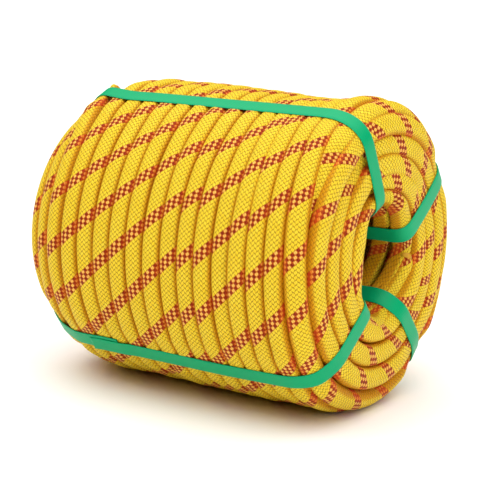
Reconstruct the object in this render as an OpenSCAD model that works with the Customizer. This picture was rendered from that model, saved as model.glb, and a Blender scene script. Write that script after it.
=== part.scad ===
// Factory coil of dynamic climbing rope, bound with four straps.
// The coil lies on its side. Its axis is along X, the floor is z = 0, and
// x = 0 is the middle of its length. Angles round the axis are 0 at the top
// and 90 at the near side, which is -Y.

/* [Rope] */
// Diameter of the rope
rope_d = 10; // [9:0.1:12]
// How much slimmer the rope is where it is pulled tight round the coil
squeeze = 0.7; // [0.4:0.05:1]
// Least gap between neighbouring turns, measured along the coil's outline
turn_gap = 0.7; // [0.65:0.05:1.5]
// Length of the hard melted cap on each end of the rope
seal_len = 3; // [1:0.5:6]

/* [Coil] */
// Diameter over the turns
coil_d = 155; // [135:1:190]
// Length over the end faces
coil_len = 195; // [180:1:240]
// Diameter of the open bore
bore_d = 47; // [40:1:60]
// Radius of the rounded shoulder at the right end
right_shoulder_r = 20; // [18:1:30]
// Radius of the rounded shoulder at the left end
left_shoulder_r = 55; // [40:1:60]
// Lean of the right end face, from square to the axis
right_lean = 2; // [0:1:10]
// Lean of the left end face, which is domed
left_lean = 23; // [10:1:30]
// Depth of the flat that the coil's weight presses into its underside
rest_cut = 1; // [0.5:0.1:1.5]
// Distance from the bore's left rim to the outer end of the rope, along the turns
outer_end_run = 57; // [54:1:80]
// Angle at which the outermost turn straightens into the outer end
outer_end_angle = 14; // [8:1:17]
// Angle at which the innermost turn straightens into the inner end
inner_end_angle = 243; // [243:1:263]
// Angle at which the turns of the left face begin, at the bore
left_face_angle = 247; // [240:1:252]
// Angle by which the turns of the left face stop short of the outer end
left_face_stop = 48; // [40:1:90]
// How far the rope's end draws in from its last turn, to lie clear of it
end_draw = 1.8; // [1.5:0.1:3]
// Angle over which it draws in
end_draw_angle = 25; // [25:1:45]

/* [Straps] */
// Width of the strap
strap_w = 9; // [5:0.5:12]
// Thickness of the strap
strap_t = 0.6; // [0.4:0.1:1]
// Angle of the strap at the top near side
top_near_angle = 17; // [10:1:25]
// Angle of the strap at the bottom near side
bottom_near_angle = 128; // [120:1:135]
// Angle of the strap at the bottom far side
bottom_far_angle = -151; // [-153:1:-148]
// Angle of the strap at the top far side
top_far_angle = -61; // [-65:1:-55]
// Length of the welded lap, where a strap's two ends lie on each other
lap_len = 38; // [12:1:42]
// How far the upper end of a lap lies off to one side of the lower
lap_shift = 2; // [0:0.5:3]
// Place along X where the laps on the outside of the coil begin
lap_x = -66; // [-66:1:40]
// Height over the axis where the lap on the left end face begins
face_lap_r = 33; // [31:1:40]

/* [Fits] */
// Gap between a strap and the turns under it
strap_clear = 0.3; // [0.2:0.05:0.6]
// Gap between the outer turns and the layers under them
core_clear = 0.3; // [0.2:0.05:0.6]

/* [Hidden] */
rope_color = "gold";
seal_color = "darkgoldenrod";
strap_color = "mediumseagreen";

// The rope as it lies in the coil
rings = 24; // rings of the tube in one turn
sides = 6; // sides of the tube
wound_d = rope_d - squeeze;
wound_r = wound_d / 2;
turn_pitch = wound_d + turn_gap;
sag = (coil_d / 2 - wound_r) * (1 - cos(180 / rings));
inset = wound_r + sag + core_clear;
axis_z = coil_d / 2 - rest_cut;

// The outline that the middle of the turns follows, in x and radius r:
// up the left face, round its shoulder, along the side, round the right
// shoulder and down the right face. Arc radii are those of the path.
path_r = coil_d / 2 - wound_r;
rim_r = bore_d / 2 + wound_r;
rim_x = coil_len / 2 - wound_r;
left_arc_r = left_shoulder_r - wound_r;
right_arc_r = right_shoulder_r - wound_r;
left_line = (path_r - left_arc_r * (1 - sin(left_lean)) - rim_r) / cos(left_lean);
right_line = (path_r - right_arc_r * (1 - sin(right_lean)) - rim_r) / cos(right_lean);
left_cx = -rim_x + left_line * sin(left_lean) + left_arc_r * cos(left_lean);
right_cx = rim_x - right_line * sin(right_lean) - right_arc_r * cos(right_lean);
left_arc = left_arc_r * (90 - left_lean) * PI / 180;
right_arc = right_arc_r * (90 - right_lean) * PI / 180;
side_line = right_cx - left_cx;
outline_len = left_line + left_arc + side_line + right_arc + right_line;

// Point of the outline at distance s from the left rim: x, r, and the angle
// of its outward normal from the radius towards +X
function outline_at(s) =
    let (s1 = s - left_line, s2 = s1 - left_arc, s3 = s2 - side_line, s4 = s3 - right_arc)
    s1 < 0 ? [-rim_x + s * sin(left_lean), rim_r + s * cos(left_lean), left_lean - 90] :
    s2 < 0 ? arc_point(left_cx, left_arc_r, left_lean - 90 + s1 / left_arc_r * 180 / PI) :
    s3 < 0 ? [left_cx + s2, path_r, 0] :
    s4 < 0 ? arc_point(right_cx, right_arc_r, s3 / right_arc_r * 180 / PI) :
    [rim_x - (right_line - s4) * sin(right_lean), rim_r + (right_line - s4) * cos(right_lean),
        90 - right_lean];

function arc_point(cx, arc_r, normal) =
    [cx + arc_r * sin(normal), path_r - arc_r + arc_r * cos(normal), normal];

// A point of the coil, from x, radius and angle round the axis
function place(x, r, angle) = [x, -r * sin(angle), axis_z + r * cos(angle)];

function unit(v) = v / norm(v);

// Whole number of turns in a run, each at least one pitch wide, with the
// part of a turn between the two end angles added
function turn_count(run, part) = floor(run / turn_pitch - part) + part;

function turn_part(from, to) = ((to - from) % 360 + 360) % 360 / 360;

// Outer layer: from the outer end of the rope, round the side to the right
// and in over the right face to the inner end
outer_turns = turn_count(outline_len - outer_end_run, turn_part(outer_end_angle, inner_end_angle));
outer_pitch = (outline_len - outer_end_run) / outer_turns;
outer_steps = floor(outer_turns * rings);

function outer_angle(t) = outer_end_angle + 360 * t;

function outer_mid(t) =
    let (o = outline_at(outer_end_run + outer_pitch * t),
        u = max(0, 1 - (outer_turns - t) * 360 / end_draw_angle))
    place(o[0], o[1] - end_draw * u * u, outer_angle(t));

// Turns on the left face: from the bore out to where they dive under the
// outer layer, one pitch inside it
face_turns = turn_count(outer_end_run, turn_part(left_face_angle, outer_end_angle));
face_pitch = outer_end_run / face_turns;
face_steps = floor((face_turns - left_face_stop / 360) * rings);

function face_angle(t) = left_face_angle + 360 * t;

function face_mid(t) =
    let (o = outline_at(face_pitch * t), u = max(0, 1 - t * 360 / end_draw_angle))
    place(o[0], o[1] - end_draw * u * u, face_angle(t));

// Outward direction of the coil's surface at a point of a winding
function outward(s, angle) =
    let (normal = outline_at(s)[2])
    [sin(normal), -cos(normal) * sin(angle), cos(normal) * cos(angle)];

outer_mids = [for (i = [0 : outer_steps]) outer_mid(i * outer_turns / outer_steps)];
outer_outs = [for (i = [0 : outer_steps])
    let (t = i * outer_turns / outer_steps) outward(outer_end_run + outer_pitch * t, outer_angle(t))];
face_mids = [for (i = [0 : face_steps]) face_mid(i / rings)];
face_outs = [for (i = [0 : face_steps]) outward(face_pitch * i / rings, face_angle(i / rings))];

// A winding with one rope diameter of straight rope added at both ends
function with_ends(mids) =
    let (n = len(mids) - 1)
    concat([mids[0] + unit(mids[0] - mids[1]) * wound_d], mids,
        [mids[n] + unit(mids[n] - mids[n - 1]) * wound_d]);

function doubled_ends(outs) = concat([outs[0]], outs, [outs[len(outs) - 1]]);

outer_path = with_ends(outer_mids);
outer_normals = doubled_ends(outer_outs);
face_path = with_ends(face_mids);
face_normals = doubled_ends(face_outs);

function tangent(path, i) =
    unit(path[min(i + 1, len(path) - 1)] - path[max(i - 1, 0)]);

function ring(mid, along, out) =
    let (n = unit(out - (out * along) * along), m = cross(along, n))
    [for (k = [0 : sides - 1]) mid + wound_r * (cos(k * 360 / sides) * n + sin(k * 360 / sides) * m)];

// Least gap of a tube to itself: the least distance between ring middles at
// least half a turn apart, less the tube's diameter
function least_gap(path) =
    let (n = len(path) - 1, half = rings / 2)
    min([for (i = [0 : n - half]) min([for (j = [i + half : n]) norm(path[j] - path[i])])]) - wound_d;

// Least gap between two tubes, measured in the same way
function gap_between(a, b) =
    min([for (p = a) min([for (q = b) norm(p - q)])]) - wound_d;

// Straps: each is a flat band round the wall of the coil. Its outline is the
// tight line round four circles, given as [x, r, radius].
strap_bore_r = sqrt(pow(bore_d / 2 - strap_clear, 2) - pow(strap_w / 2, 2));
strap_rim_r = rim_r - strap_bore_r;
strap_off = wound_r + strap_clear;
corner_steps = 12; // straight pieces in a strap's round corner

function strap_corners(grow) = [
    [left_cx, path_r - left_arc_r, left_arc_r + strap_off + grow],
    [right_cx, path_r - right_arc_r, right_arc_r + strap_off + grow],
    [rim_x, rim_r, strap_rim_r + grow],
    [-rim_x, rim_r, strap_rim_r + grow]];

function edge_normal(a, b) =
    atan2(b[1] - a[1], b[0] - a[0]) + acos((a[2] - b[2]) / norm([b[0] - a[0], b[1] - a[1]]));

function tight_line(c) =
    [for (i = [0 : 3])
        let (from = edge_normal(c[(i + 3) % 4], c[i]), to = edge_normal(c[i], c[(i + 1) % 4]),
            turn = ((from - to) % 360 + 360) % 360)
        for (k = [0 : corner_steps])
            let (a = from - turn * k / corner_steps)
            [c[i][0] + c[i][2] * cos(a), c[i][1] + c[i][2] * sin(a)]];

// Stands a shape drawn in x and r on the coil, in the plane at an angle
module at_angle(angle) {
    translate([0, 0, axis_z])
        rotate([angle, 0, 0])
            rotate([90, 0, 0])
                children();
}

module band(inner, outer, width) {
    linear_extrude(height = width, center = true)
        difference() {
            polygon(tight_line(strap_corners(outer)));
            polygon(tight_line(strap_corners(inner)));
        }
}

// One strap: a closed band, and the second layer of its welded lap, which
// lies on it inside the window given as [x, r, length, height]
module strap(angle, window) {
    color(strap_color)
        at_angle(angle) {
            band(0, strap_t, strap_w);
            translate([0, 0, lap_shift])
                intersection() {
                    band(strap_t, 2 * strap_t, strap_w);
                    translate([window[0], window[1], -strap_w])
                        cube([window[2], window[3], 2 * strap_w]);
                }
        }
}

side_lap = [lap_x, path_r / 2, lap_len, coil_d];
face_lap = [-coil_len, face_lap_r, coil_len / 2 + 40, lap_len];

// A tube through rings of points, with flat ends and faces of triangles
module tube(path, normals) {
    n = len(path);
    points = [for (i = [0 : n - 1]) each ring(path[i], tangent(path, i), normals[i])];
    walls = [for (i = [0 : n - 2]) for (k = [0 : sides - 1])
        let (a = i * sides + k, b = i * sides + (k + 1) % sides)
        each [[a, b, b + sides], [a, b + sides, a + sides]]];
    start = [for (k = [1 : sides - 2]) [0, k + 1, k]];
    last = (n - 1) * sides;
    end = [for (k = [1 : sides - 2]) [last, last + k, last + k + 1]];
    polyhedron(points = points, faces = concat(walls, start, end), convexity = 10);
}

// The hard cap of a melted rope end, standing on the end of a tube
module seal(path, normals, i, along) {
    n = unit(normals[i] - (normals[i] * along) * along);
    m = cross(along, n);
    mid = path[i];
    edge = seal_len / 3;
    color(seal_color)
        multmatrix([
            [n[0], m[0], along[0], mid[0]],
            [n[1], m[1], along[1], mid[1]],
            [n[2], m[2], along[2], mid[2]],
            [0, 0, 0, 1]]) {
            cylinder(h = seal_len - edge, r = wound_r, $fn = 32);
            translate([0, 0, seal_len - edge])
                cylinder(h = edge, r1 = wound_r, r2 = wound_r - edge, $fn = 32);
        }
}

// Outer layer of turns, flat where the coil's weight rests on it
module outer_layer() {
    color(rope_color)
        difference() {
            tube(outer_path, outer_normals);
            translate([-coil_len, -coil_d, -2 * coil_d])
                cube([2 * coil_len, 2 * coil_d, 2 * coil_d]);
        }
}

// Ends of the inner layers, which show as turns on the left face
module left_face_turns() {
    color(rope_color)
        tube(face_path, face_normals);
}

// The layers under the outer one, as one plain body with the open bore
module inner_layers() {
    arc_steps = 12;
    bore_r = bore_d / 2;
    lx = -rim_x + inset * cos(left_lean);
    lr = rim_r - inset * sin(left_lean);
    rx = rim_x - inset * cos(right_lean);
    rr = rim_r - inset * sin(right_lean);
    left_foot = [bore_r, lx - (lr - bore_r) * tan(left_lean)];
    right_foot = [bore_r, rx + (rr - bore_r) * tan(right_lean)];
    left_round = [for (k = [0 : arc_steps])
        let (a = (left_lean - 90) * (1 - k / arc_steps), q = arc_point(left_cx, left_arc_r, a))
        [q[1] - inset * cos(a), q[0] - inset * sin(a)]];
    right_round = [for (k = [0 : arc_steps])
        let (a = (90 - right_lean) * k / arc_steps, q = arc_point(right_cx, right_arc_r, a))
        [q[1] - inset * cos(a), q[0] - inset * sin(a)]];
    color(rope_color)
        translate([0, 0, axis_z])
            rotate([0, 90, 0])
                rotate_extrude($fn = 96)
                    polygon(concat([left_foot], left_round, right_round, [right_foot]));
}

module outer_end_seal() {
    seal(outer_path, outer_normals, 0, unit(outer_path[0] - outer_path[1]));
}

module inner_end_seal() {
    n = len(outer_path) - 1;
    seal(outer_path, outer_normals, n, unit(outer_path[n] - outer_path[n - 1]));
}

module strap_top_near() {
    strap(top_near_angle, face_lap);
}

module strap_bottom_near() {
    strap(bottom_near_angle, side_lap);
}

module strap_top_far() {
    strap(top_far_angle, side_lap);
}

module strap_bottom_far() {
    strap(bottom_far_angle, side_lap);
}

echo(str("loops in the outer layer: ", outer_turns, ", on the left face: ", face_steps / rings));
echo(str("least gap of the outer layer to itself, mm: ", least_gap(outer_path)));
echo(str("least gap of the left face turns to themselves, mm: ", least_gap(face_path)));
echo(str("least gap between the two, mm: ", gap_between(outer_path, face_path)));

outer_layer();
left_face_turns();
inner_layers();
outer_end_seal();
inner_end_seal();
strap_top_near();
strap_bottom_near();
strap_top_far();
strap_bottom_far();
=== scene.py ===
import bpy
import numpy as np
from mathutils import Matrix, Vector


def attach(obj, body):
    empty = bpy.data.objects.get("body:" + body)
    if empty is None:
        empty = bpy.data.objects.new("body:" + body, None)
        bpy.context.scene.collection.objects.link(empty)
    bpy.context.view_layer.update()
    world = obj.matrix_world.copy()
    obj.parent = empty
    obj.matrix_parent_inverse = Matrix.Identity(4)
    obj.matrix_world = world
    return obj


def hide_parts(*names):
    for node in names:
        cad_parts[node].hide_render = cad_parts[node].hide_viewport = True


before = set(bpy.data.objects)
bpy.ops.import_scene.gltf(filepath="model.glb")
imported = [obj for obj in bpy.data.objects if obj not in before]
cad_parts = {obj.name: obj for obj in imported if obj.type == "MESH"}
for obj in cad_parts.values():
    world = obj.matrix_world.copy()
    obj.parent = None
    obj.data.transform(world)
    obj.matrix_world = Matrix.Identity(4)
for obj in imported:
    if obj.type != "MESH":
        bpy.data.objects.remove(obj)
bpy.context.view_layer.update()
scene = bpy.context.scene

# --- Rope -----------------------------------------------------------------------
# One length of kernmantle rope, a braided polyamide sheath over twisted core yarns. It is
# wound in five layers on a mandrel that is then drawn out, so only the turns themselves
# and the straps hold it in shape.
MM = 0.001
ROPE_D = 10.0
ROPE_R = ROPE_D / 2

# The coil lies on its side with its axis near X. Angles and turns round the axis are
# counted from the top towards the near side, which is -Y. Runs are counted in mm along
# the outermost turns, from the bore's left rim over the barrel to its right rim.
LEFT_R = 75.8  # radius over the turns where the barrel begins to round off at the left
RIGHT_R = 79.2  # and where it turns over its right shoulder
LEFT_X, RIGHT_X = -38.9, 79.05  # those two places along the axis
FLAT = 0.8  # how deep the floor presses into the turns
LAYERS = 5
RIM_R = 28.5  # middle of the turns round the bore
HUNG_R = 21.0  # how far in a turn may hang at the mouth of the bore
LEFT_ARC, RIGHT_ARC = 50.0, 12.5  # radii of the two rounded ends, to the turns' middle
LEFT_LEAN, RIGHT_LEAN = np.radians(23), np.radians(1.9)  # of the end faces, from square

# The barrel is wider at the right, so its axis rises to the right.
taper = np.arctan2(RIGHT_R - LEFT_R, RIGHT_X - LEFT_X)
rise_to_right = np.array([
    [np.cos(taper), 0, -np.sin(taper)],
    [0, 1, 0],
    [np.sin(taper), 0, np.cos(taper)],
])
axis_height = LEFT_R * np.cos(taper) - LEFT_X * np.sin(taper) - FLAT


def on_floor(points):
    """Millimetres round the coil's axis, as x, y, z, to metres in the frame: turned so that
    the barrel's underside is level, and lifted until it lies on the floor."""
    return (points @ rise_to_right.T + [0, 0, axis_height]) * MM


# Meridian of the outermost turns as a dense curve: up the left face, round its
# shoulder, along the barrel, round the right shoulder and down the right face.
left_turn = np.arange(-90 + np.degrees(LEFT_LEAN), 0, 0.5)
right_turn = np.arange(0, 90 - np.degrees(RIGHT_LEAN), 1.0)
left_r, right_r = LEFT_R - ROPE_R, RIGHT_R - ROPE_R
left_foot_r = left_r - LEFT_ARC * (1 - np.sin(LEFT_LEAN))
right_foot_r = right_r - RIGHT_ARC * (1 - np.sin(RIGHT_LEAN))
left_foot_x = LEFT_X - LEFT_ARC * np.cos(LEFT_LEAN)
right_foot_x = RIGHT_X + RIGHT_ARC * np.cos(RIGHT_LEAN)
left_fall, right_fall = left_foot_r - RIM_R, right_foot_r - HUNG_R
skin_points = np.concatenate([
    [[left_foot_x - left_fall * np.tan(LEFT_LEAN), RIM_R, np.degrees(LEFT_LEAN) - 90]],
    np.transpose([
        LEFT_X + LEFT_ARC * np.sin(np.radians(left_turn)),
        left_r - LEFT_ARC * (1 - np.cos(np.radians(left_turn))),
        left_turn,
    ]),
    np.transpose([
        RIGHT_X + RIGHT_ARC * np.sin(np.radians(right_turn)),
        right_r - RIGHT_ARC * (1 - np.cos(np.radians(right_turn))),
        right_turn,
    ]),
    [[right_foot_x, right_foot_r, 90 - np.degrees(RIGHT_LEAN)]],
    [[right_foot_x + right_fall * np.tan(RIGHT_LEAN), HUNG_R, 90 - np.degrees(RIGHT_LEAN)]],
])


def runs_along(points):
    """How far each point lies along a line of them: the steps' lengths, summed."""
    return np.concatenate([[0], np.cumsum(np.linalg.norm(np.diff(points, axis=0), axis=1))])


skin_run = runs_along(skin_points[:, :2])
SIDE_RUN = float(np.interp(LEFT_X, skin_points[:, 0], skin_run))


def skin(run):
    """x, r and the outward normal's angle from the radius, at a run: read off the meridian,
    evenly between its points."""
    return np.transpose([np.interp(run, skin_run, column) for column in skin_points.T])


def step_in(place, start, end):
    """0 before start, 1 after end, and the smooth S of 3 t squared less 2 t cubed between."""
    t = np.clip((place - start) / (end - start), 0, 1)
    return t * t * (3 - 2 * t)


def bell(place, middle, reach):
    """1 at the middle, and e to the minus square of the distance over the reach."""
    return np.exp(-(((place - middle) / reach) ** 2))


# Outermost layer: 10.2 mm a turn. Near the right shoulder the turns don't advance
# evenly: each keeps its place most of the way round and shifts over near the top.
STEP = 1 / 360  # of a turn
PITCH = 10.23
FIRST_RUN = 54.6  # run of the first turn at the near side
OUTER_START = 4 * STEP  # the outer end, in turns from the top
FACE_TURN = 14.25  # the outermost layer reaches the right face's first ring
SHIFTED = 95 * STEP  # the part of a turn, from the top, in which it shifts over
CROWD_FROM, CROWD_TO = SIDE_RUN + 74, SIDE_RUN + 129
outer_turn = np.arange(OUTER_START, FACE_TURN - 0.1, STEP)
even = FIRST_RUN + PITCH * (outer_turn - 0.25)
whole = np.floor(outer_turn)
stepped = FIRST_RUN + PITCH * (whole - 1 + step_in(outer_turn - whole, 0, SHIFTED))
outer_run = even + step_in(even, CROWD_FROM, CROWD_TO) * (stepped - even)
# Behind the outer end, on the far side, the first turns lean over to close its place.
LEAN_REACH = 0.12  # of a turn
for lean_turn, lean in ((0.87, 3.2), (1.87, 1.6)):
    outer_run -= lean * bell(outer_turn, lean_turn, LEAN_REACH)

# The whole path is a row of legs, each with a row of knots: turn, x, r, the normal's angle,
# and how much it lies on the skin, from 0 to 1.
legs = [np.column_stack([outer_turn, skin(outer_run), np.ones(len(outer_turn))])]
BURIED_FROM, BURIED_TO = 4, 9  # depths at which a turn begins to be hidden, and is


def on_skin(turns, runs, sunk=0.0):
    """Adds a leg of the path that lies on the skin, from runs at turns, evenly between,
    and sunk below it by depths in mm."""
    turn = np.arange(turns[0], turns[-1], STEP)
    spots = skin(np.interp(turn, turns, runs))
    depth = np.interp(turn, turns, np.broadcast_to(sunk, len(turns)))
    lean = np.radians(spots[:, 2])
    spots[:, 0] -= depth * np.sin(lean)
    spots[:, 1] -= depth * np.cos(lean)
    seen = np.interp(depth, [BURIED_FROM, BURIED_TO], [1, 0])
    legs.append(np.column_stack([turn, spots, seen]))


def inside(turn, x, layer):
    """Adds a leg inside the coil, from x[0] to x[1], evenly, in a layer counted from the
    bore. The layers share out the depth between the bore and the outermost evenly."""
    turn = np.arange(turn[0], turn[1], STEP)
    place = np.interp(turn, [turn[0], turn[-1]], x)
    outer_r = np.interp(place, [LEFT_X, RIGHT_X], [left_r, right_r])
    r = RIM_R + (outer_r - RIM_R) * (layer - 1) / (LAYERS - 1)
    legs.append(np.column_stack([turn, place, r, np.zeros(len(turn)), np.zeros(len(turn))]))


# Layers meet in pairs on the end faces. On the right one each pair of rings is one climb
# inwards: a turn dives under the ring that follows it, and the next pair comes up from
# below in the same place, near the top.
DEEP = 10.2  # how far the turns of a lower layer lie behind the face
FACE_RUN = 220.0  # run of a place halfway down the face
face_x = float(skin(np.array([FACE_RUN]))[0, 0]) - DEEP
on_skin(
    [FACE_TURN, 14.5, 14.75, 15.0, 15.08, 15.15, 15.22, 15.5, 15.6, 15.7],
    [197.7, 198.0, 198.2, 196.8, 197.2, 198.5, 200.0, 202.0, 202.5, 203.0],
    [0, 0, 0, 0, 0.5, 3.5, 9.0, 9.0, 4.0, 0],
)
on_skin(
    [15.71, 15.85, 16.0, 16.25, 16.5, 16.75, 16.95, 17.04, 17.15],
    [203.0, 204.2, 204.7, 207.5, 210.9, 212.2, 213.2, 214.4, 215.0],
    [0, 0, 0, 0, 0, 0, 1.0, 3.0, 9.0],
)
inside([17.22, 29.0], [face_x, -52.4], 4)
on_skin([29.52, 29.7, 29.88, 30.02, 31.02, 32.02], [48.8, 48.6, 47.0, 43.6, 33.2, 22.8])
inside([32.4, 47.9], [-76.0, face_x], 3)
on_skin(
    [47.97, 48.06, 48.17, 48.25, 48.5, 48.75, 49.0, 49.25, 49.5, 49.75, 49.95, 50.04, 50.15],
    [217.5, 218.0, 218.4, 218.6, 222.6, 223.4, 223.2, 231.1, 235.0, 233.4, 231.0, 230.4, 230.0],
    [9.0, 4.5, 1.0, 0, 0, 0, 0, 0, 0, 0, 1.0, 3.0, 9.0],
)
inside([50.22, 65.6], [face_x, -80.0], 2)
on_skin([66.02, 67.02], [12.4, 2.0])
inside([67.4, 83.55], [-85.3, face_x], 1)
on_skin(
    [83.62, 83.7, 83.78, 83.85, 84.02, 84.25, 84.5, 84.6, 84 + 264 * STEP],
    [244.0, 245.8, 246.2, 245.2, 240.6, 241.6, 242.0, 242.5, 243.5],
    [8.0, 4.0, 1.0, 0, 0, 0, 0, 7.0, -0.5],
)
knots = np.concatenate(legs)
shown = knots[:, 4] > 0.5
knots[:, 3] = np.interp(knots[:, 0], knots[shown, 0], knots[shown, 3])

# At the mouth of the bore the turn behind the last ring hangs in and forward at the top.
HANG_TURN, HANG_REACH = 82.93, 0.19
HANG_FORWARD, HANG_IN = 10.0, 4.5
hangs = bell(knots[:, 0], HANG_TURN, HANG_REACH)
knots[:, 1] += HANG_FORWARD * hangs
knots[:, 2] -= HANG_IN * hangs

# The outer end peeps out from under a strap: it leans to the left and stands off the turns.
END_REACH = 0.05  # of a turn
END_LEANS, END_STANDS = 7.0, 3.3
springs = bell(knots[:, 0], OUTER_START, END_REACH)
knots[:, 1] -= END_LEANS * springs
knots[:, 2] += END_STANDS * springs


def eased(values, width):
    """A moving average over a number of values, weighted as a raised cosine. Beyond their
    ends the values are taken to go on unchanged."""
    weight = np.hanning(width) / np.hanning(width).sum()
    padding = (width // 2, width - 1 - width // 2)
    return np.convolve(np.pad(values, padding, mode="edge"), weight, mode="valid")


PER_TURN = 240  # steps of the path
CORNER = PER_TURN // 6  # corners are eased over a sixth of a turn
turns = np.arange(knots[0, 0], knots[-1, 0], 1 / PER_TURN)
x, r, normal, on_top = [
    eased(np.interp(turns, knots[:, 0], column), CORNER) for column in knots[:, 1:].T
]
normal = np.radians(normal)
angle = 2 * np.pi * turns

# The straps' angles round the coil. They don't lie quite square: how far each lies off the
# plane through the axis, and how much further where it has slipped at the left end.
STRAP_ANGLES = {"top_near": 19, "bottom_near": 126, "bottom_far": -139.8, "top_far": -59}
STRAP_ASIDE = {"top_near": 2.5, "bottom_near": -5.5, "bottom_far": 6.8, "top_far": 4.0}
STRAP_SLIP = {"top_near": 8.0, "bottom_near": -6.0, "bottom_far": 0.0, "top_far": 0.0}
SLIP_FROM, SLIP_TO = -35, -75  # x at which the slip begins and is full


def aside(name, x):
    """How far, in mm, a strap lies to the side of its plane at x, along the axis: always by
    one distance, and by its slip where it comes in, in a smooth S, at the left."""
    return STRAP_ASIDE[name] + STRAP_SLIP[name] * step_in(x, SLIP_FROM, SLIP_TO)


# Turns swell a little beside each strap, where it squeezes them, and lie still under it.
SWELL_BESIDE = 0.4
SWELL_AT, SWELL_REACH = 12, 4  # from the strap's middle, mm
squeezed, near_strap = np.zeros(len(turns)), np.zeros(len(turns))
for strap_name, strap_angle in STRAP_ANGLES.items():
    away = angle - np.radians(strap_angle)
    across = r * np.sin(away) + aside(strap_name, x)
    facing = np.cos(away) > 0
    squeezed += facing * SWELL_BESIDE * bell(np.abs(across), SWELL_AT, SWELL_REACH)
    near_strap += facing * np.exp(-(across / SWELL_AT) ** 4)

# The winding isn't quite round: it swells at the top left and low on the near side, and
# is drawn in at the top right. Place along x, angle, reach in x, reach in angle, height.
SWELLS = [
    (-32, -12, 48, 42, 3.2),
    (62, -14, 26, 24, -1.8),
    (35, 126, 60, 30, 1.5),
    (86, -25, 16, 25, 2.5),
    (-90, 85, 20, 40, 1.3),
    (-76, 164, 22, 24, 3.2),
]
swell = np.zeros(len(turns))
for at_x, at_angle, x_reach, angle_reach, height in SWELLS:
    away = (np.degrees(angle) - at_angle + 180) % 360 - 180
    swell += height * bell(x, at_x, x_reach) * bell(away, 0, angle_reach)

# A hand-fed winding is never quite even: slow wander of the turns, in and out and sideways.
WANDER_OUT, WANDER_SIDE = 0.35, 0.3
WANDER_STEP, WANDER_EASE = 0.125, 31  # in turns, and in steps of the path
chance = np.random.default_rng(11)
wander_turns = np.arange(turns[0], turns[-1] + 0.2, WANDER_STEP)
wander_out, wander_side = [
    eased(np.interp(turns, wander_turns, chance.normal(0, 1, len(wander_turns))), WANDER_EASE)
    for _ in range(2)
]
out = WANDER_OUT * wander_out * (1 - near_strap) + on_top * (swell + squeezed)
x = x + np.sin(normal) * out + WANDER_SIDE * wander_side * np.cos(normal)
r = r + np.cos(normal) * out - WANDER_SIDE * wander_side * np.sin(normal)
middle = np.column_stack([x, -r * np.sin(angle), r * np.cos(angle)])

# The straps are drawn tight round the wall of turns, each in a plane through the axis.
PRESSED = 1.0  # how far a strap sinks into the turns
MIDWAY_R = 55  # between the bore and the outside
way_angle = np.radians(np.arange(0, 360, 1.5))
WAYS = np.column_stack([np.sin(way_angle), np.cos(way_angle)])  # in the plane, as x and r
STRAP_STEPS = 420
EASE = 17  # steps over which a strap's bends are eased, about 1.2 mm each


def taut_line(name):
    """The closed line, as x and r, of the underside of a band round the turns in its plane:
    for every direction, the turn that lies furthest that way, and the height over its
    middle at which the band presses on it. Bends are eased by a moving average."""
    part = (STRAP_ANGLES[name] - np.degrees(STRAP_ASIDE[name] / MIDWAY_R)) % 360 / 360
    crossing = np.arange(np.ceil(turns[0] - part), turns[-1] - part) + part
    middles = np.column_stack([np.interp(crossing, turns, x), np.interp(crossing, turns, r)])
    furthest = middles[np.argmax(WAYS @ middles.T, axis=1)]
    corners = furthest + (ROPE_R - PRESSED) * WAYS
    corners = np.concatenate([corners, corners[:1]])
    run = runs_along(corners)
    at_run = np.linspace(0, run[-1], STRAP_STEPS, endpoint=False)
    line = np.transpose([np.interp(at_run, run, column) for column in corners.T])
    weight = np.hanning(EASE + 2)[1:-1] / np.hanning(EASE + 2).sum()
    return sum(w * np.roll(line, step - EASE // 2, 0) for step, w in enumerate(weight))


strap_lines = {name: taut_line(name) for name in STRAP_ANGLES}

# The sheath is one tube along that path. Its rings lie close together where the rope
# shows, further apart round the bore and wide apart in the other hidden layers.
SIDES = 20
SEEN_STEP, BORE_STEP, HIDDEN_STEP = 2.95, 6.0, 13.0
SEEN = 0.02  # how much of a turn on the skin counts as showing
BORE_TURN = 67  # from here on the turns lie round the bore
hidden_step = np.where(turns > BORE_TURN, BORE_STEP, HIDDEN_STEP)
spacing = np.where(on_top > SEEN, SEEN_STEP, hidden_step)
steps = np.linalg.norm(np.diff(middle, axis=0), axis=1)
ring_number = np.concatenate([[0], np.cumsum(steps / spacing[1:])])
ring_count = int(ring_number[-1])
at_turn = np.interp(np.linspace(0, ring_number[-1], ring_count), ring_number, turns)
place = np.transpose([np.interp(at_turn, turns, column) for column in middle.T])
ring_angle = 2 * np.pi * at_turn
ring_run = runs_along(place)
along = np.gradient(place, axis=0)
along /= np.linalg.norm(along, axis=1)[:, None]
ring_normal = np.interp(at_turn, turns, normal)
outward = np.column_stack([
    np.sin(ring_normal),
    -np.cos(ring_normal) * np.sin(ring_angle),
    np.cos(ring_normal) * np.cos(ring_angle),
])
outward -= (outward * along).sum(1)[:, None] * along
outward /= np.linalg.norm(outward, axis=1)[:, None]
sideways = np.cross(along, outward)

# Turns press on each other and on the layer below, so the section is a circle drawn
# towards a low square, flatter inside than outside.
WIDE_R, HIGH_R, LOW_R = 5.2, 5.0, 4.2
SQUARE = 2.8
FACE_WIDER = 1.11  # on the right face the rings lie further apart, and spread to fill it
FACE_FROM, FACE_TO = 82, 90  # x at which that begins and is full


def section(side_angle):
    """Outward and sideways places, in mm, of the section at an angle from outward. It is a
    superellipse: the two places, each over its radius and to the power SQUARE, sum to 1."""
    up_part, side_part = np.cos(side_angle), np.sin(side_angle)
    up_size = np.abs(up_part / np.where(up_part > 0, HIGH_R, LOW_R)) ** SQUARE
    size = (up_size + np.abs(side_part / WIDE_R) ** SQUARE) ** (-1 / SQUARE)
    return size * up_part, size * side_part


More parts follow.
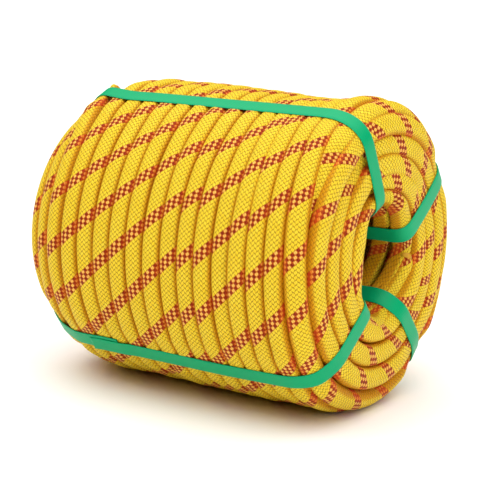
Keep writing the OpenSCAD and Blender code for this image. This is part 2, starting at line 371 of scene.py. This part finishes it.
side_angle = (np.arange(SIDES + 1) - SIDES / 2) * 2 * np.pi / SIDES
section_out, section_side = section(side_angle)
on_face = np.interp(at_turn, turns, on_top) * step_in(place[:, 0], FACE_FROM, FACE_TO)
spread = 1 + (FACE_WIDER - 1) * on_face
# Its ends round off to their seals in a quarter of an ellipse.
ROUNDED_OVER = 5  # mm
SEALED_PART = 0.62  # of its thickness, which is left at the seals
from_end = np.clip(np.minimum(ring_run, ring_run[-1] - ring_run) / ROUNDED_OVER, 0, 1)
rounded = np.maximum(np.sqrt(1 - (1 - from_end) ** 2), SEALED_PART)
rings = place[:, None] + rounded[:, None, None] * (
    outward[:, None] * section_out[:-1, None]
    + sideways[:, None] * section_side[:-1, None] * spread[:, None, None]
)


def strap_axes(name):
    """Unit vectors of a strap's plane at its angle round the axis: out from the coil's axis,
    and square to the plane."""
    sine, cosine = np.sin(np.radians(STRAP_ANGLES[name])), np.cos(np.radians(STRAP_ANGLES[name]))
    return np.array([0, -sine, cosine]), np.array([0, cosine, sine])


# Under a strap the sheath is pressed flat: whatever stands out past the strap's underside
# moves in to it, fully beneath the strap and less and less beside it. The stiff outer end
# springs back sooner.
CLEAR = 0.1  # between the sheath and the strap
PRESS_FROM, PRESS_TO = 6.0, 21.0  # from the strap's middle: pressed fully, and not at all
END_LEN, END_PRESS_TO = 15, 8.0
press_to = np.repeat(np.where(ring_run < END_LEN, END_PRESS_TO, PRESS_TO)[:, None], SIDES, axis=1)
for strap_name in STRAP_ANGLES:
    radial, athwart = strap_axes(strap_name)
    beside = np.abs(rings @ athwart - aside(strap_name, rings[..., 0]))
    near = (beside < PRESS_TO) & (rings @ radial > 0)
    close = rings[near]
    spots = np.column_stack([close[:, 0], close @ radial])
    outside = spots @ WAYS.T - (strap_lines[strap_name] @ WAYS.T).max(0)
    way = WAYS[outside.argmax(1)]
    pressing = 1 - step_in(beside[near], PRESS_FROM, press_to[near])
    push = np.maximum(outside.max(1) + CLEAR, 0) * pressing
    rings[near] = close - push[:, None] * (way[:, :1] * [1, 0, 0] + way[:, 1:] * radial)

# The turns that it rests on are flat against the floor.
points = on_floor(rings.reshape(-1, 3))
points[:, 2] = np.maximum(points[:, 2], 0)


def mesh_piece(name, points, faces, smooth=True):
    """A mesh object at the origin from points in metres and a list or array of faces."""
    mesh = bpy.data.meshes.new(name)
    mesh.from_pydata(points.tolist(), [], [list(map(int, face)) for face in faces])
    mesh.polygons.foreach_set("use_smooth", np.full(len(mesh.polygons), smooth))
    mesh.update()
    piece = bpy.data.objects.new(name, mesh)
    scene.collection.objects.link(piece)
    return piece


def tube_faces(rows, columns, looped=False):
    """Quads between rows of points round a tube. They point outwards where, seen from
    outside, the next row lies a quarter turn anticlockwise from a row's next point. A looped
    tube's last row is joined to its first, and any other has a flat face at each end."""
    row, column = np.meshgrid(np.arange(rows - (not looped)), np.arange(columns), indexing="ij")
    next_row, next_column = (row + 1) % rows, (column + 1) % columns
    corners = [row * columns + column, row * columns + next_column]
    corners += [next_row * columns + next_column, next_row * columns + column]
    faces = list(np.stack(corners, -1).reshape(-1, 4))
    if not looped:
        faces += [np.arange(columns)[::-1], np.arange(columns) + (rows - 1) * columns]
    return faces


rope = mesh_piece("rope", points, tube_faces(ring_count, SIDES))

# The braid is laid out on lengths: round the rope, and along it in lays, one lay being
# the length in which a yarn goes once round. Round the outermost layer each turn takes up
# nearly the same number of lays, and the rope rolled a little where it was paid out anew.
LAY = 27.6
LAYS_A_TURN, FIRST_LAY = 16.299, -0.198
NEAR_LAYS = 0.1  # lays pushed together on the near side of each turn, and drawn out behind
NEAR_ANGLE = np.radians(67)
EVEN_TO = 15.2  # the turn up to which each turn takes up the same number of lays
ROLL_REACH = 0.15  # turns before and after, over which it rolled
# Turns at which it rolled, and by how many lays
ROLLS = {
    7.7: 0.19, 8.7: 0.205, 11.7: 0.15, 13.7: 0.158, 14.75: 0.4, 15.22: -0.4, 15.5: 0.28,
    47.7: -0.08, 48.65: -0.78, 49.1: 0.28, 83.6: 0.18, 84.25: 0.26,
}
outer_lays = LAYS_A_TURN * at_turn + FIRST_LAY + NEAR_LAYS * np.sin(ring_angle - NEAR_ANGLE)
lay_steps = np.where(at_turn[1:] < EVEN_TO, np.diff(outer_lays), np.diff(ring_run) / LAY)
lays = outer_lays[0] + np.concatenate([[0], np.cumsum(lay_steps)])
for roll_turn, roll in ROLLS.items():
    lays -= roll * step_in(at_turn, roll_turn - ROLL_REACH, roll_turn + ROLL_REACH)

# The braid's own map: parts of a turn round the rope, and lays along it
fine_angle = np.linspace(-np.pi, np.pi, 721)
fine_run = runs_along(np.column_stack(section(fine_angle)))
around = np.interp(side_angle, fine_angle, fine_run / fine_run[-1] - 0.5)
wall_ring, wall_side = np.divmod(np.arange((ring_count - 1) * SIDES), SIDES)
corner_side = np.stack([wall_side, wall_side + 1, wall_side + 1, wall_side], -1)
corner_ring = np.stack([wall_ring, wall_ring, wall_ring + 1, wall_ring + 1], -1)
braid_places = np.zeros((len(rope.data.loops), 2))
braid_places[: corner_side.size, 0] = around[corner_side].reshape(-1)
braid_places[: corner_ring.size, 1] = lays[corner_ring].reshape(-1)
braid_uv = rope.data.uv_layers.new(name="braid").uv
braid_uv.foreach_set("vector", braid_places.astype(np.float32).reshape(-1))


def linear(hex_colour):
    """An sRGB hex colour as linear red, green, blue and 1: each part over 12.92 in the curve's
    straight foot, and a power of 2.4 above it."""
    parts = [int(hex_colour[i : i + 2], 16) / 255 for i in (1, 3, 5)]
    return [c / 12.92 if c <= 0.04045 else ((c + 0.055) / 1.055) ** 2.4 for c in parts] + [1]


def add_node(owner, kind, inputs=(), **settings):
    """Adds a shader node of a kind, with its settings, to a material or the world. Inputs go
    in order from a list, or by name or number from a dict: each is a value, an output, or a
    node, which stands for its first output."""
    node = owner.node_tree.nodes.new("ShaderNode" + kind)
    for name, value in settings.items():
        setattr(node, name, value)
    if not isinstance(inputs, dict):
        inputs = dict(enumerate(inputs))
    for socket, value in inputs.items():
        if isinstance(value, bpy.types.Node):
            value = value.outputs[0]
        if isinstance(value, bpy.types.NodeSocket):
            owner.node_tree.links.new(value, node.inputs[socket])
        else:
            node.inputs[socket].default_value = value
    return node


def new_material(name, **surface):
    """A material with only a Principled surface, whose sockets take the values given."""
    material = bpy.data.materials.new(name)
    material.use_nodes = True
    shader = material.node_tree.nodes["Principled BSDF"]
    for key, value in surface.items():
        shader.inputs[key.replace("_", " ")].default_value = value
    return material, shader


# Polyamide sheath from 24 carriers, 12 running each way round, over and under one
# another. Each carrier holds two twisted ends of yarn, whose fibres lie nearer to the
# rope's direction than the carrier does. So a float shows as two bright, rounded beads,
# and the places between floats are deep, painted a darker gold as shade. Three
# neighbouring carriers of one way hold red yarn: a band of red beads winds round the rope,
# and the yellow beads between them are painted paler and warmer: painted reflection of the red.
CARRIERS = 12  # each way, so that a yarn lies 2.3 mm from the next along the rope
TRACERS = 3
TWIST = 0.4  # how far the fibres lean, in widths of a carrier over the length of a float
END_AT = 0.24  # an end's middle, from its carrier's, in widths of a carrier
END_SLIM = 3.8  # one over half an end's width
DIVE, DIVE_FALL = 2.5, 4.0  # power and fall of a bead's height towards the float's ends
EDGE, EDGE_FALL = 4.0, 6.0  # and towards its edges
IN_BAND_SHADE = 0.25  # how much lower the beads in the band count, for the painted gap shade only
BRIGHT, BRIGHT_IN_BAND = 0.85, 0.6  # height from which a bead has its own colour, clear of the painted gap shade
FLANK_SHADE_FROM, FLANK_SHADE_TO = 0.1, 0.18  # parts of a turn round the rope, from outward, where the painted flank shade begins and is full
TONE_LEN = 87.6  # mm over which a yarn changes in tone
TONE_STEP = 0.9  # in the noise, from one yarn to the next
sheath, sheath_shader = new_material(
    "braided_polyamide", Roughness=0.55, Specular_IOR_Level=0.2
)
braid_map = add_node(sheath, "UVMap", uv_map="braid")
braid_axes = add_node(sheath, "SeparateXYZ", [braid_map])
braid = {"turn": braid_axes.outputs[0], "lay": braid_axes.outputs[1]}
for result, operation, *values in (
    # The carriers of either way, by number, and the place across each, from its middle
    ("leaning", "SUBTRACT", "turn", "lay"),
    ("leaning", "MULTIPLY", "leaning", CARRIERS),
    ("leaning_yarn", "FLOOR", "leaning"),
    ("leaning_spot", "FRACT", "leaning"),
    ("leaning_spot", "SUBTRACT", "leaning_spot", 0.5),
    ("counter", "ADD", "turn", "lay"),
    ("counter", "MULTIPLY", "counter", CARRIERS),
    ("counter_yarn", "FLOOR", "counter"),
    ("counter_spot", "FRACT", "counter"),
    ("counter_spot", "SUBTRACT", "counter_spot", 0.5),
    # They take turns to lie on top
    ("crossing", "ADD", "leaning_yarn", "counter_yarn"),
    ("crossing", "MULTIPLY", "crossing", 0.5),
    ("crossing", "FRACT", "crossing"),
    ("leaning_on_top", "LESS_THAN", "crossing", 0.25),
    # Number of the yarn on top, and the place across its float and along it
    ("yarn", "SUBTRACT", "leaning_yarn", "counter_yarn"),
    ("yarn", "MULTIPLY_ADD", "yarn", "leaning_on_top", "counter_yarn"),
    ("across", "SUBTRACT", "leaning_spot", "counter_spot"),
    ("across", "MULTIPLY_ADD", "across", "leaning_on_top", "counter_spot"),
    ("lengthwise", "ADD", "leaning_spot", "counter_spot"),
    ("lengthwise", "SUBTRACT", "lengthwise", "across"),
    # Two round ends that lie aslant, dive under at the float's ends and slope off at its edges
    ("end", "MULTIPLY_ADD", "lengthwise", TWIST, "across"),
    ("end", "ABSOLUTE", "end"),
    ("end", "MULTIPLY_ADD", "end", END_SLIM, -END_AT * END_SLIM),
    ("crown", "MULTIPLY", "end", "end"),
    ("crown", "SUBTRACT", 1.0, "crown"),
    ("crown", "SQRT", "crown"),
    ("dive", "ABSOLUTE", "lengthwise"),
    ("dive", "POWER", "dive", DIVE),
    ("dive", "MULTIPLY_ADD", "dive", -DIVE_FALL, 1.0),
    ("edge", "ABSOLUTE", "across"),
    ("edge", "POWER", "edge", EDGE),
    ("edge", "MULTIPLY_ADD", "edge", -EDGE_FALL, 1.0),
    ("bead", "MULTIPLY", "crown", "dive"),
    ("bead", "MULTIPLY", "bead", "edge"),
    # The tracer band, its red floats and the yellow ones between them
    ("band", "WRAP", "leaning_yarn", CARRIERS, 0.0),
    ("band", "LESS_THAN", "band", TRACERS - 0.5),
    ("red_here", "MULTIPLY", "band", "leaning_on_top"),
    ("beside_red", "SUBTRACT", "band", "red_here"),
    # Beads in the band take more of the painted gap shade
    ("shade_height", "MULTIPLY_ADD", "band", -IN_BAND_SHADE, "bead"),
    ("bright", "MULTIPLY_ADD", "band", BRIGHT_IN_BAND - BRIGHT, BRIGHT),
    # How far round the rope's side, and a slow change along each yarn
    ("round", "ABSOLUTE", "turn"),
    ("slow_lay", "MULTIPLY", "lay", LAY / TONE_LEN / TONE_STEP),
):
    inputs = [braid[value] if isinstance(value, str) else value for value in values]
    braid[result] = add_node(sheath, "Math", inputs, operation=operation)

# The sides of the rope get a deeper colour, where it is seen along the yarns' slopes: painted
# shade, and painted light bounced from its neighbours. Yarns differ a little in tone.
flank_shade_and_bounce = add_node(
    sheath, "MapRange",
    {"Value": braid["round"], "From Min": FLANK_SHADE_FROM, "From Max": FLANK_SHADE_TO},
    interpolation_type="SMOOTHSTEP",
)
# The painted gap shade: darker gold where a bead lies low, its own colour where it stands high.
raised = add_node(
    sheath, "MapRange",
    {"Value": braid["shade_height"], "From Min": 0.0, "From Max": braid["bright"]},
    interpolation_type="SMOOTHSTEP",
)
yarn_spot = add_node(
    sheath, "CombineXYZ", [braid["yarn"], braid["leaning_on_top"], braid["slow_lay"]]
)
yarn_tone = add_node(
    sheath, "TexNoise", {"Vector": yarn_spot, "Scale": TONE_STEP, "Detail": 1.0}
)
# Each tone goes from one colour or tone to another by a share.
COLOUR_A, COLOUR_B, MIXED_COLOUR = 6, 7, 2  # numbers of a Mix node's sockets
tones = {}
for tone, share, start, end in (
    ("yellow", yarn_tone, "#FFD20C", "#FFEA44"),
    # On the rope's sides: painted shade and painted bounce light
    ("yellow", flank_shade_and_bounce, "yellow", "#E2A000"),
    ("red", yarn_tone, "#681200", "#9C2400"),
    ("red", flank_shade_and_bounce, "red", "#D04408"),
    # The yellow beads in the band: painted reflection of the red, paler and warmer
    ("red_lit_bead", flank_shade_and_bounce, "#FFCE5C", "#F08824"),
    ("bead", braid["beside_red"], "yellow", "red_lit_bead"),
    ("bead", braid["red_here"], "bead", "red"),
    # Painted gap shade between the floats, over the red yarn's own orange-red in the band
    ("depth", flank_shade_and_bounce, "#B48600", "#B87800"),
    ("depth", braid["band"], "depth", "#CC5404"),
    ("sheath", raised, "depth", "bead"),
):
    start, end = [tones[name] if name in tones else linear(name) for name in (start, end)]
    mix = add_node(
        sheath, "Mix", {"Factor": share, COLOUR_A: start, COLOUR_B: end}, data_type="RGBA"
    )
    tones[tone] = mix.outputs[MIXED_COLOUR]
sheath_bump = add_node(
    sheath, "Bump", {"Height": braid["bead"], "Strength": 0.9, "Distance": 0.5 * MM}
)
sheath.node_tree.links.new(tones["sheath"], sheath_shader.inputs["Base Color"])
sheath.node_tree.links.new(sheath_bump.outputs[0], sheath_shader.inputs["Normal"])
rope.data.materials.append(sheath)

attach(rope, "root")
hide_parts("outer_layer", "left_face_turns", "inner_layers")

# --- Sealed ends of the rope ----------------------------------------------------
# Both ends are cut hot: sheath and core melt into one hard cap, slightly domed, that keeps
# the braid from running back.
CAP_ROWS, CAP_SIDES = 8, 24
CAP_R, CAP_TIP_R = 3.2, 0.4
CAP_BACK, CAP_REACH = -0.6, 2.4  # where it starts, inside the rope, and its length from there
# Melted polyamide is a dull drop, browned by the blade in patches and a little rough.
CHAR = 2.5 * MM  # size of the patches
melted, melted_shader = new_material("melted_polyamide", Roughness=0.5, Specular_IOR_Level=0.4)
melted_place = add_node(melted, "TexCoord").outputs["Object"]
char = add_node(melted, "TexNoise", {"Vector": melted_place, "Scale": 1 / CHAR, "Detail": 3.0})
char_colour = add_node(
    melted, "Mix",
    {"Factor": char, COLOUR_A: linear("#BE8A10"), COLOUR_B: linear("#DCA618")},
    data_type="RGBA",
)
char_bump = add_node(melted, "Bump", {"Height": char, "Strength": 0.5, "Distance": 0.4 * MM})
melted.node_tree.links.new(
    char_colour.outputs[MIXED_COLOUR], melted_shader.inputs["Base Color"]
)
melted.node_tree.links.new(char_bump.outputs[0], melted_shader.inputs["Normal"])


def sealed_end(name, tip, direction, across, node):
    """A cap on the rope's end: a surface of revolution round the rope's direction, whose
    reach grows as a quarter sine wave and whose radius falls as the root of a cosine wave,
    with small lumps round it."""
    t = np.linspace(0, np.pi / 2, CAP_ROWS)
    reach = CAP_BACK + CAP_REACH * np.sin(t)
    radius = CAP_R * np.cos(t) ** 0.5
    radius[-1] = CAP_TIP_R
    turn = np.linspace(0, 2 * np.pi, CAP_SIDES, endpoint=False)
    other = np.cross(direction, across)
    rim = np.cos(turn)[:, None] * across + np.sin(turn)[:, None] * other
    lumps = 1 + 0.03 * np.sin(3 * turn + 1) + 0.02 * np.sin(7 * turn)
    grid = tip + reach[:, None, None] * direction + radius[:, None, None] * lumps[:, None] * rim
    piece = mesh_piece(name, on_floor(grid.reshape(-1, 3)), tube_faces(CAP_ROWS, CAP_SIDES))
    piece.data.materials.append(melted)
    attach(piece, "root")
    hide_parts(node)
    return piece


outer_tip = sealed_end("rope_tip_outer", place[0], -along[0], outward[0], "outer_end_seal")
inner_tip = sealed_end("rope_tip_inner", place[-1], along[-1], outward[-1], "inner_end_seal")

# --- Straps ---------------------------------------------------------------------
# Polypropylene strapping, drawn tight lengthwise round the wall of the coil and back
# through the bore, and heat-welded to itself in a lap.
STRAP_W, STRAP_T = 9.0, 0.6
STRAP_CLEAR = 0.05  # over the line that it is drawn along
LAP_FROM, LAP_LEN = -44, 19  # the weld that shows, on the strap low on the near side, along x
LAP_SHIFT = 1.8  # how far its two ends lie askew
LAP_FALL = 8  # steps in which the upper end comes down

# Rolled polypropylene, dyed in the mass, with a satin gloss and a fine diamond emboss: two
# waves that cross. At a distance it only softens the gloss.
EMBOSS = 1.083 * MM  # from one crest to the next
WAVE_CRESTS = 20 / (2 * np.pi)  # of a wave texture in one unit, at a scale of 1
strapping, strapping_shader = new_material(
    "rolled_polypropylene", Roughness=0.42, Specular_IOR_Level=0.15, Base_Color=linear("#00A66C")
)
strapping_place = add_node(strapping, "TexCoord").outputs["Object"]
emboss = []
for turned in (0.8, -0.8):
    slant = add_node(
        strapping, "Mapping", {"Vector": strapping_place, "Rotation": (0.6, 0.7, turned)}
    )
    wave = add_node(
        strapping, "TexWave",
        {"Vector": slant, "Scale": 1 / (WAVE_CRESTS * EMBOSS), "Distortion": 0.4},
    )
    emboss.append(wave.outputs["Fac"])
diamonds = add_node(strapping, "Math", emboss, operation="MULTIPLY")
emboss_bump = add_node(
    strapping, "Bump", {"Height": diamonds, "Strength": 0.35, "Distance": 0.08 * MM}
)
strapping.node_tree.links.new(emboss_bump.outputs[0], strapping_shader.inputs["Normal"])


def lifted(line, lift):
    """The line moved outward by lift, square to itself."""
    along_line = np.roll(line, -1, 0) - np.roll(line, 1, 0)
    along_line /= np.linalg.norm(along_line, axis=1)[:, None]
    return line + lift * np.column_stack([-along_line[:, 1], along_line[:, 0]])


def strap_points(lines, name, shift):
    """A grid of points of a flat strip of strapping: a profile with rounded edges, carried
    along two lines, which its lower and upper faces follow. It lies beside the plane at the
    strap's angle, shifted."""
    lower, upper = lines
    across = np.array([-0.5, -0.485, -0.46, -0.25, 0, 0.25, 0.46, 0.485, 0.5]) * STRAP_W
    edge = np.array([0.5, 0.15, 0, 0, 0, 0, 0, 0.15, 0.5])
    places = aside(name, lower[:, :1]) - shift - np.concatenate([across, across[::-1]])
    levels = np.concatenate([1 - edge, edge])
    radial, athwart = strap_axes(name)
    line = lower[:, None] + (upper - lower)[:, None] * levels[None, :, None]
    return line[..., :1] * [1, 0, 0] + line[..., 1:] * radial + places[..., None] * athwart


def welded_lines(lines):
    """Lines, and a shift to the side for each step along them, of a strap that starts on top
    of its own other end and comes down, in a smooth S, to the turns beyond. The lines given
    are those of its underside, its top, and the top of the lap."""
    x_place, r_place = lines[1].T
    in_lap = (r_place > MIDWAY_R) & (x_place > LAP_FROM) & (x_place < LAP_FROM + LAP_LEN)
    spots = np.flatnonzero(in_lap)
    spots = np.roll(spots, -int(np.argmax(np.diff(spots, prepend=spots[0]) > 1)))
    step = np.arange(STRAP_STEPS + len(spots))
    here = (spots[0] + step) % STRAP_STEPS
    on_itself = 1 - step_in(step, len(spots), len(spots) + LAP_FALL)[:, None]
    welded = [lines[i][here] + on_itself * (lines[i + 1][here] - lines[i][here]) for i in (0, 1)]
    return welded, LAP_SHIFT * (0.5 - step[:, None] / step[-1])


for strap_name in STRAP_ANGLES:
    lines = [
        lifted(strap_lines[strap_name], STRAP_CLEAR + level * STRAP_T) for level in (0, 1, 2)
    ]
    shows_weld = strap_name == "bottom_near"
    lines, askew = welded_lines(lines) if shows_weld else (lines[:2], 0)
    grid = strap_points(lines, strap_name, askew)
    strap = mesh_piece(
        "binding_" + strap_name, on_floor(grid.reshape(-1, 3)),
        tube_faces(*grid.shape[:2], looped=not shows_weld),
    )
    strap.data.materials.append(strapping)
    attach(strap, "root")
    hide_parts("strap_" + strap_name)

# --- Floor, light and camera ----------------------------------------------------
# A plain white sweep under soft studio light: a large soft box above and to the left, one
# at the right, and an even surround that brightens upwards and is warm low down.
FLOOR_REACH = 4.0  # metres each way
floor_corners = FLOOR_REACH * np.array([[-1, -1, 0], [1, -1, 0], [1, 1, 0], [-1, 1, 0]])
floor = mesh_piece("floor", floor_corners, [[0, 1, 2, 3]], smooth=False)
# Matt white paint has hardly any gloss, so the floor shows only a soft shadow.
floor_paint, _ = new_material("matt_white_paint", Roughness=0.9, Base_Color=linear("#FFFFFF"))
floor.data.materials.append(floor_paint)

# The surround's height goes from 0 at the horizon to 1 overhead.
SKY_FROM, SKY_WHITE, SKY_FULL = 0.3, 0.65, 0.9
SKY_POWER = 2.2
scene.world = bpy.data.worlds.new("studio")
scene.world.use_nodes = True
sky_way = add_node(scene.world, "TexCoord").outputs["Generated"]
sky_height = add_node(scene.world, "SeparateXYZ", [sky_way]).outputs[2]
sky_power = add_node(
    scene.world, "MapRange",
    {"Value": sky_height, "From Min": SKY_FROM, "From Max": SKY_FULL, "To Max": SKY_POWER},
    interpolation_type="SMOOTHSTEP",
)
sky_whiteness = add_node(
    scene.world, "MapRange",
    {"Value": sky_height, "From Min": SKY_FROM, "From Max": SKY_WHITE},
)
sky_colour = add_node(
    scene.world, "Mix",
    {"Factor": sky_whiteness, COLOUR_A: linear("#FF9A50"), COLOUR_B: linear("#FFFFFF")},
    data_type="RGBA",
)
backdrop = scene.world.node_tree.nodes["Background"]
scene.world.node_tree.links.new(sky_power.outputs[0], backdrop.inputs["Strength"])
scene.world.node_tree.links.new(sky_colour.outputs[MIXED_COLOUR], backdrop.inputs["Color"])

# Soft boxes: place and side in metres, and power in watts. Each faces the coil's middle.
COIL_MIDDLE = Vector((0, 0, 0.08))
for name, lamp_place, lamp_side, watts in (
    ("key", (-0.5, -0.6, 1.2), 0.8, 3),
    ("side", (1.5, -0.35, 0.75), 0.8, 4.5),
):
    light = bpy.data.lights.new(name, "AREA")
    light.size = lamp_side
    light.energy = watts
    lamp = bpy.data.objects.new(name, light)
    scene.collection.objects.link(lamp)
    lamp.location = lamp_place
    to_coil = COIL_MIDDLE - Vector(lamp_place)
    lamp.rotation_euler = to_coil.to_track_quat("-Z", "Y").to_euler()
scene.view_settings.view_transform = "Standard"

# A long lens, a little over a metre away, looks down at the near side and the right end
# face of the coil. Its turn and rise are round the coil's own axis.
CAMERA_TURN, CAMERA_RISE = np.radians(31.99), np.radians(13.12)
AIMED_AT = np.array([-4.05, 0, 0])  # a place on that axis
CAMERA_AWAY = 1086.7
CAMERA_ASIDE = np.array([17.22, -7.48])  # to its own right, and up
LENS = 150.06
back = np.array([
    np.sin(CAMERA_TURN) * np.cos(CAMERA_RISE),
    -np.cos(CAMERA_TURN) * np.cos(CAMERA_RISE),
    np.sin(CAMERA_RISE),
])
right = np.array([np.cos(CAMERA_TURN), np.sin(CAMERA_TURN), 0])
up = np.cross(back, right)
camera_place = AIMED_AT + back * CAMERA_AWAY + CAMERA_ASIDE @ np.array([right, up])
camera_matrix = np.eye(4)
camera_matrix[:3, :3] = rise_to_right @ np.array([right, up, back]).T
camera_matrix[:3, 3] = on_floor(camera_place)
camera_data = bpy.data.cameras.new("camera")
camera_data.lens = LENS
camera_data.sensor_width = 36
camera_data.clip_end = 20
camera = bpy.data.objects.new("camera", camera_data)
scene.collection.objects.link(camera)
camera.matrix_world = Matrix(camera_matrix.tolist())
scene.camera = camera
